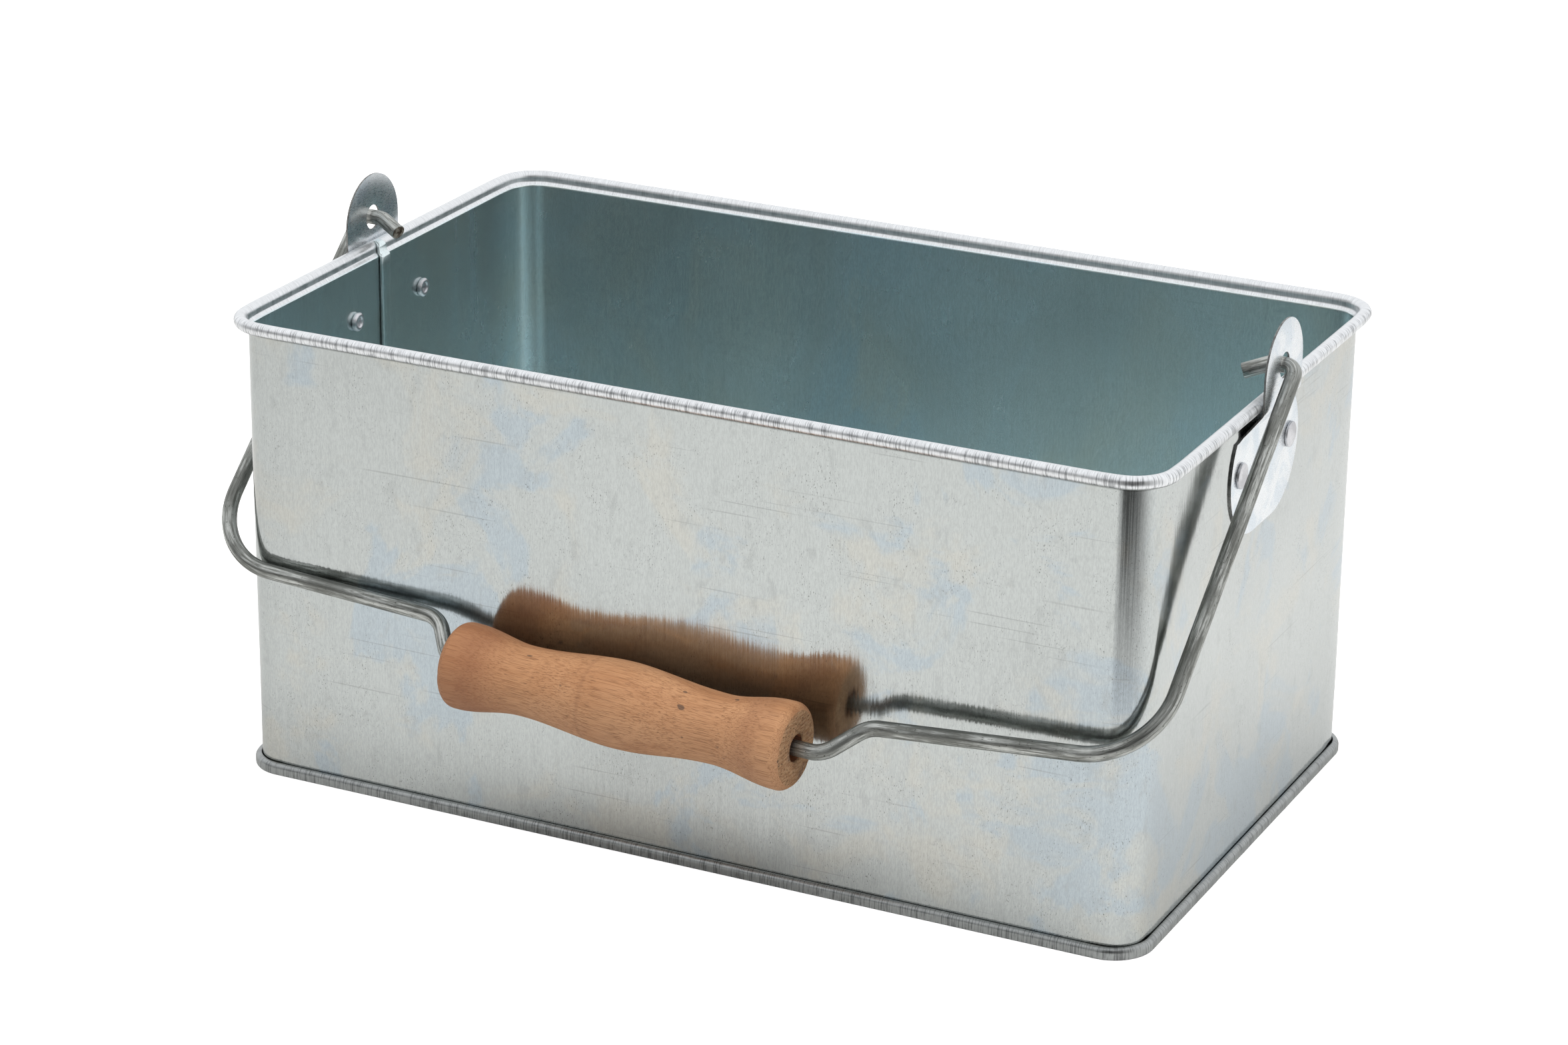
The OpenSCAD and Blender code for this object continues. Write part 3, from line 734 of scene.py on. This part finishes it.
def lathe(profile, segments):
    """Points and faces of a profile of (along, radius) turned round its axis.

    The first and last points lie on the axis. The points are (along, across, up).
    """
    inner = profile[1:-1]
    verts = [(profile[0][0], 0.0, 0.0)]
    for t, r in inner:
        for k in range(segments):
            a = 2 * math.pi * k / segments
            verts.append((t, r * math.cos(a), r * math.sin(a)))
    verts.append((profile[-1][0], 0.0, 0.0))
    last = len(verts) - 1
    faces = [(0, 1 + (k + 1) % segments, 1 + k) for k in range(segments)]
    for j in range(len(inner) - 1):
        a, b = 1 + j * segments, 1 + (j + 1) * segments
        for k in range(segments):
            n = (k + 1) % segments
            faces.append((a + k, a + n, b + n, b + k))
    end = last - segments
    faces += [(last, end + k, end + (k + 1) % segments) for k in range(segments)]
    return verts, faces


def make_rivet(node, seed):
    """Semi-tubular rivet: flat head outside, rolled tail with a dimple inside."""
    low, high = (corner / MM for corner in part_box(node))
    side = 1 if low.x > 0 else -1
    y, z = (low.y + high.y) / 2, (low.z + high.z) / 2
    # The tail's rolled ring: its own radius, and its middle's distance from the axis
    roll, roll_at = 0.85, 2.1
    tail_t, ear_face = -SHEET - roll, EAR_T
    head_r, head_t = 3.85, 1.0
    profile = [(tail_t + 0.25, 0), (tail_t + 0.2, 0.5), (tail_t, 0.95)]
    for degrees in range(0, 181, 20):
        a = math.radians(degrees)
        profile.append((tail_t - roll * math.sin(a), roll_at - roll * math.cos(a)))
    profile += [(-SHEET - 0.25, roll_at + roll * 0.85), (-SHEET, roll_at + 0.3), (-SHEET, 2.0)]
    profile += [(ear_face, 2.0), (ear_face, head_r - 0.2), (ear_face + 0.2, head_r)]
    profile += [(ear_face + 0.65, head_r), (ear_face + 0.85, head_r - 0.1),
                (ear_face + head_t - 0.03, head_r - 0.4), (ear_face + head_t - 0.01, head_r * 0.5),
                (ear_face + head_t, 0)]
    verts, faces = lathe(profile, 40)
    placed = []
    for t, across, up in verts:
        rough = 0.09 if t < -SHEET - 0.3 else 0.03
        if -SHEET <= t <= ear_face:
            rough = 0.0
        swell = 1 + rough * ripple(1.6, across + seed * 9, up, t)
        placed.append((side * (HALF_L + t), y + across * swell, z + up * swell))
    obj = piece(node + "_set", placed, faces, [rivet_zinc], crease=50)
    stand_for(obj, "bucket", "rivet_steel", node)


# ---- bail -------------------------------------------------------------

WIRE_R = 2.35
# The resting bail's angle to the front, measured from straight down
REST_ANGLE = math.radians(46.8)
# Bends as (along X, drop from the pivot axis, bend radius), in the bail's plane
BENDS = [
    (-141.2, 4, 0), (-148.7, 0, 5), (-156.4, 0, 3.4), (-159.1, 123.4, 24),
    (-74.8, 128.2, 9), (-66.5, 141.3, 9), (58, 145.9, 9), (68.8, 135, 9),
    (152.6, 128.3, 24), (156.4, 0, 3.4), (148.7, 0, 5), (141.2, 4, 0),
]
# The grip sits on the stretch after this bend, a little to the left of its middle
GRIP_STRETCH = 5
GRIP_SHIFT = 2.6


def in_bail_plane(x, drop):
    return np.array([x, -drop * math.sin(REST_ANGLE), PIVOT_Z - drop * math.cos(REST_ANGLE)])


def wire_line():
    """Points along the middle of the wire, in the bail's plane, with true arcs at the bends."""
    corners = [np.array(b[:2], float) for b in BENDS]
    line = [corners[0]]
    for before, at, after, bend in zip(corners, corners[1:], corners[2:], BENDS[1:-1]):
        u, v = unit(at - before), unit(after - at)
        turn = math.atan2(u[0] * v[1] - u[1] * v[0], float(u @ v))
        r = bend[2]
        cut = r * math.tan(abs(turn) / 2)
        start = at - u * cut
        side = np.array([-u[1], u[0]]) * math.copysign(1, turn)
        centre = start + side * r
        steps = max(4, round(abs(turn) / math.radians(4)))
        for k in range(steps + 1):
            a = turn * k / steps
            arm = np.array([-side[0] * math.cos(a) + side[1] * math.sin(a),
                            -side[0] * math.sin(a) - side[1] * math.cos(a)])
            line.append(centre + arm * r)
    line.append(corners[-1])
    full = [line[0]]
    for a, b in zip(line, line[1:]):
        parts = max(1, round(np.linalg.norm(b - a) / 2.0))
        full += [a + (b - a) * (k / parts) for k in range(1, parts + 1)]
    return full


def make_bail():
    sides = 28
    line = [in_bail_plane(*p) for p in wire_line()]
    across = unit(np.array([0.0, -math.cos(REST_ANGLE), math.sin(REST_ANGLE)]))
    verts, strip, travelled = [], [], 0.0
    for i, p in enumerate(line):
        a, b = line[max(i - 1, 0)], line[min(i + 1, len(line) - 1)]
        ahead = unit(b - a)
        up = np.cross(ahead, across)
        travelled += float(np.linalg.norm(p - a)) if i else 0.0
        for k in range(sides):
            angle = 2 * math.pi * k / sides
            uneven = ripple(7, travelled, 3 * math.cos(angle), 3 * math.sin(angle))
            r = WIRE_R * (1 + 0.008 * uneven)
            verts.append(p + across * (r * math.cos(angle)) + up * (r * math.sin(angle)))
            strip.append((travelled, WIRE_R * abs(math.remainder(angle, 2 * math.pi))))
    rows = len(line)
    faces = grid_faces(rows, sides, False, True)
    picks = [0] * len(faces)
    # Sheared ends: a small rounded edge, then an uneven face
    for first, end, inward in ((0, line[0], line[1]), ((rows - 1) * sides, line[-1], line[-2])):
        outward = unit(end - inward)
        ring = list(range(first, first + sides))
        for share, push in ((0.93, 0.12), (0.8, 0.16), (0.45, 0.05)):
            start = len(verts)
            for i in ring[:sides]:
                base = np.array(verts[first + (i - ring[0])]) - end
                uneven = 0.1 * ripple(1.3, *(base * share))
                verts.append(end + base * share + outward * (push + uneven * (share < 0.9)))
                strip.append(strip[first + (i - ring[0])])
            new = list(range(start, start + sides))
            for k in range(sides):
                n = (k + 1) % sides
                faces.append((ring[k], ring[n], new[n], new[k]))
                picks.append(0 if share > 0.9 else 1)
            ring = new
        verts.append(end - outward * 0.1)
        strip.append((0, 0))
        for k in range(sides):
            faces.append((ring[k], ring[(k + 1) % sides], len(verts) - 1))
            picks.append(1)
    obj = piece("bail_wire", verts, faces, [wire_zinc, wire_cut], picks, crease=60, strip=strip)
    stand_for(obj, "bail", "wire_steel", "bail")


# ---- grip -------------------------------------------------------------


def make_grip():
    """Turned grip, its own X axis along the wire, with rounded ends and a drilled bore."""
    length, end_d, neck_d, mid_d, bore_d = 113.6, 26.2, 21.0, 26.0, 8.2
    neck_at, end_at, edge_r = 32.3, 52.3, 3.2
    half = length / 2

    def radius(t):
        t = abs(t)
        if t < neck_at:
            swing = math.cos(math.pi * t / neck_at)
            return (mid_d + neck_d) / 4 + (mid_d - neck_d) / 4 * swing
        if t < end_at:
            swing = math.cos(math.pi * (t - neck_at) / (end_at - neck_at))
            return (neck_d + end_d) / 4 + (neck_d - end_d) / 4 * swing
        return end_d / 2

    sides = 96
    side = [(t, radius(t)) for t in np.linspace(-(half - edge_r), half - edge_r, 110)]
    corner = [(half - edge_r * (1 - math.sin(a)), end_d / 2 - edge_r * (1 - math.cos(a)))
              for a in np.linspace(0, math.pi / 2, 9)[1:]]
    face = [(half, r) for r in (9.6, 8.4, 7.2, 6.0, bore_d / 2 + 0.5)]
    lip = [(half - 0.15, bore_d / 2 + 0.15), (half - 0.5, bore_d / 2)]
    right = corner + face + lip
    bore = [(t, bore_d / 2) for t in np.linspace(half - 4, -(half - 4), 24)]
    left = [(-t, r) for t, r in reversed(right)]
    profile = side + right + bore + left
    kinds = [0] * (len(side) + len(corner) - 3) + [1] * (len(face) + 4)
    kinds += [2] * (len(bore) + 1)
    kinds += [1] * (len(face) + 4)
    kinds += [0] * (len(profile) - len(kinds))
    verts = []
    for t, r in profile:
        for k in range(sides):
            a = 2 * math.pi * k / sides
            y, z = r * math.cos(a), r * math.sin(a)
            swell = 0.0
            if r > bore_d / 2 + 1:
                swell = 0.10 * ripple(14, t, y, z) + 0.05 * ripple(4, t * 0.4, y, z) - 0.08
            chip = 0.0
            if abs(t) > half - edge_r:
                chip = -0.18 * max(0.0, ripple(2.2, y, z, t * 0.2))
            verts.append((t + math.copysign(1, t) * chip,
                          y * (1 + swell / r), z * (1 + swell / r)))
    faces = grid_faces(len(profile), sides, True, True)
    picks = [kind for kind in kinds for _ in range(sides)]
    obj = piece("wooden_grip", verts, faces, [grip_side, grip_end, grip_bore], picks, crease=60)
    a, b = (np.array(BENDS[i][:2], float) for i in (GRIP_STRETCH, GRIP_STRETCH + 1))
    middle = in_bail_plane(*((a + b) / 2 - unit(b - a) * GRIP_SHIFT)) * MM
    along = Vector(unit(in_bail_plane(*b) - in_bail_plane(*a)))
    turn = along.to_track_quat("X", "Z").to_matrix().to_4x4()
    obj.matrix_world = Matrix.Translation(middle) @ turn
    stand_for(obj, "grip", "grip_wood", "grip")


# ---- studio -----------------------------------------------------------


def make_floor():
    """Pale round paper floor, its rings of points spaced wider and wider, radii in metres."""
    rings, count, brightness = (0.25, 0.6, 1.2, 2.6), 64, 0.80
    s = Surface("paper_floor")
    fibre = s.noise(s.coords, 700.0, 2.0)
    # The paper glows where it is looked at directly, as an overexposed sweep does
    seen = s.add("ShaderNodeLightPath").outputs["Is Camera Ray"]
    glow = s.math("MULTIPLY", seen, brightness)
    s.set(Base_Color=s.mix(fibre, (0.67, 0.67, 0.67), (0.69, 0.69, 0.69)), Roughness=0.9,
          Emission_Color=(1.0, 1.0, 1.0, 1.0), Emission_Strength=glow)
    s.shader.inputs["Specular IOR Level"].default_value = 0.1
    verts = [(0, 0, 0)]
    for r in rings:
        for k in range(count):
            a = 2 * math.pi * k / count
            verts.append((r * math.cos(a) / MM, r * math.sin(a) / MM, 0))
    faces = [(0, 1 + k, 1 + (k + 1) % count) for k in range(count)]
    for j in range(len(rings) - 1):
        a, b = 1 + j * count, 1 + (j + 1) * count
        for k in range(count):
            n = (k + 1) % count
            faces.append((a + k, b + k, b + n, a + n))
    floor = piece("studio_floor", verts, faces, [s.material])
    floor.location.z = -0.02 * MM


def make_flag():
    """The dark space round a photographer in front of the right corner, seen only in reflections.

    It is a curved screen round the corner and the shade at its foot. It fades out towards
    both its sides and towards the bucket. Its angles are degrees from the front.
    """
    first, last, step = -12, 116, 4
    section = ((170, 0.5), (240, 0.5), (310, 0.5), (370, 0.5), (375, 4), (375, 520))
    white, pale, black = (1.15, 1.15, 1.15), (1.0, 1.0, 1.0), (0.0, 0.0, 0.0)
    s = Surface("flag_cloth")
    weave = s.noise(s.coords, 500.0, 2.0, 0.5)
    parts = s.add("ShaderNodeSeparateXYZ", {"Vector": s.coords})
    reach = s.math("SQRT", s.math("ADD", s.math("POWER", parts.outputs["X"], 2.0),
                                  s.math("POWER", parts.outputs["Y"], 2.0)))
    angle = s.math("ARCTAN2", parts.outputs["X"], s.math("MULTIPLY", parts.outputs["Y"], -1.0))
    shade = s.add("ShaderNodeMapRange", {"Value": reach, "From Min": 0.17, "From Max": 0.355,
                                         "To Min": 0.95, "To Max": 0.07}).outputs["Result"]
    shade = s.mix(s.remap(angle, math.radians(30), math.radians(110)), shade, white)
    left_fade = s.remap(angle, math.radians(1), math.radians(first), 0.0, 0.7)
    shade = s.mix(left_fade, shade, pale)
    shade = s.mix(s.math("MULTIPLY", weave, 0.04), shade, black)
    s.set(Base_Color=(0.0, 0.0, 0.0, 1.0), Roughness=0.9, Emission_Color=shade,
          Emission_Strength=1.0)
    s.shader.inputs["Specular IOR Level"].default_value = 0.0
    verts = []
    for degrees in range(first, last, step):
        a = math.radians(degrees)
        for r, z in section:
            verts.append((r * math.sin(a), -r * math.cos(a), z))
    rows, cols = len(verts) // len(section), len(section)
    flag = piece("studio_flag", verts, grid_faces(rows, cols, False, False), [s.material])
    flag.location = Vector((HALF_L, -HALF_W, 0)) * MM
    flag.visible_camera = False
    flag.visible_diffuse = False
    flag.visible_shadow = False


def make_world():
    """White surroundings. Reflections also see the dim room low down in front of the table."""
    surround = (0.66, 0.66, 0.66, 1)
    bright = (1.05, 1.06, 1.08, 1)
    dim_room = (0.34, 0.345, 0.35, 1)
    world = bpy.data.worlds.new("studio")
    bpy.context.scene.world = world
    world.use_nodes = True
    nodes, links = world.node_tree.nodes, world.node_tree.links
    nodes.clear()

    def add(kind, **settings):
        node = nodes.new(kind)
        for key, value in settings.items():
            setattr(node, key, value)
        return node

    def scaled(value, low, high):
        node = add("ShaderNodeMapRange", interpolation_type="SMOOTHSTEP")
        links.new(value, node.inputs["Value"])
        node.inputs["From Min"].default_value = low
        node.inputs["From Max"].default_value = high
        return node.outputs["Result"]

    split = add("ShaderNodeSeparateXYZ")
    links.new(add("ShaderNodeTexCoord").outputs["Generated"], split.inputs[0])
    front = scaled(split.outputs["Y"], 0.05, -0.45)
    low = scaled(split.outputs["Z"], 0.7, 0.3)
    dim = add("ShaderNodeMath", operation="MULTIPLY")
    links.new(front, dim.inputs[0])
    links.new(low, dim.inputs[1])
    room = add("ShaderNodeMix", data_type="RGBA")
    links.new(dim.outputs[0], room.inputs[MIX_FACTOR])
    room.inputs[MIX_FIRST].default_value = bright
    room.inputs[MIX_SECOND].default_value = dim_room
    # Only a clean reflection sees the room: light that has bounced off something dull does not
    path = add("ShaderNodeLightPath")
    clean = add("ShaderNodeMath", operation="LESS_THAN")
    links.new(path.outputs["Diffuse Depth"], clean.inputs[0])
    clean.inputs[1].default_value = 0.5
    mirrored = add("ShaderNodeMath", operation="MULTIPLY")
    links.new(path.outputs["Is Glossy Ray"], mirrored.inputs[0])
    links.new(clean.outputs[0], mirrored.inputs[1])
    seen = add("ShaderNodeMix", data_type="RGBA")
    links.new(mirrored.outputs[0], seen.inputs[MIX_FACTOR])
    seen.inputs[MIX_FIRST].default_value = surround
    links.new(room.outputs[MIX_RESULT], seen.inputs[MIX_SECOND])
    background = add("ShaderNodeBackground")
    links.new(seen.outputs[MIX_RESULT], background.inputs["Color"])
    links.new(background.outputs[0], add("ShaderNodeOutputWorld").inputs["Surface"])


def add_light(name, place, size, power, tone):
    """A soft rectangular light that faces the bucket."""
    aim = Vector((0, 0, 0.05)) - Vector(place)
    data = bpy.data.lights.new(name, "AREA")
    data.shape = "RECTANGLE"
    data.size, data.size_y = size
    data.energy = power
    data.color = tone
    light = bpy.data.objects.new(name, data)
    light.location = place
    # Metal mirrors the plain white surroundings, not the lights
    light.visible_glossy = False
    light.rotation_euler = aim.to_track_quat("-Z", "Y").to_euler()
    bpy.context.scene.collection.objects.link(light)


def make_camera():
    """The photograph's camera: its angles, its distance in metres and its lens were fitted."""
    azimuth, elevation, roll = (math.radians(a) for a in (25.99, 21.03, 0.67))
    distance, lens = 1.3687, 101.99
    target = Vector((-6.8, 0.2, 76.4)) * MM
    back = Vector((math.sin(azimuth) * math.cos(elevation),
                   -math.cos(azimuth) * math.cos(elevation), math.sin(elevation)))
    right = Vector((0, 0, 1)).cross(back).normalized()
    up = back.cross(right)
    side = right * math.cos(roll) + up * math.sin(roll)
    top = up * math.cos(roll) - right * math.sin(roll)
    data = bpy.data.cameras.new("camera")
    data.lens = lens
    data.sensor_width = 36
    camera = bpy.data.objects.new("camera", data)
    turn = Matrix((side, top, back)).transposed().to_4x4()
    camera.matrix_world = Matrix.Translation(target + back * distance) @ turn
    bpy.context.scene.collection.objects.link(camera)
    bpy.context.scene.camera = camera


make_wall()
make_lock_seam()
make_base_pan()
for ear in ("ear_left", "ear_right"):
    make_ear(ear)
for seed, rivet in enumerate(("rivet_left_front", "rivet_left_rear",
                              "rivet_right_front", "rivet_right_rear")):
    make_rivet(rivet, seed)
make_bail()
make_grip()
frame["nodes"]["rim_wire"].data.materials.clear()
frame["nodes"]["rim_wire"].data.materials.append(wire_zinc)

make_floor()
make_flag()
make_world()
add_light("softbox_top", (0.1, -0.3, 1.6), (1.4, 1.4), 27.0, (1.0, 0.99, 0.97))
add_light("softbox_right", (1.2, 0.35, 0.9), (1.0, 0.8), 7.0, (1.0, 1.0, 1.0))
make_camera()
bpy.context.scene.view_settings.view_transform = "Standard"
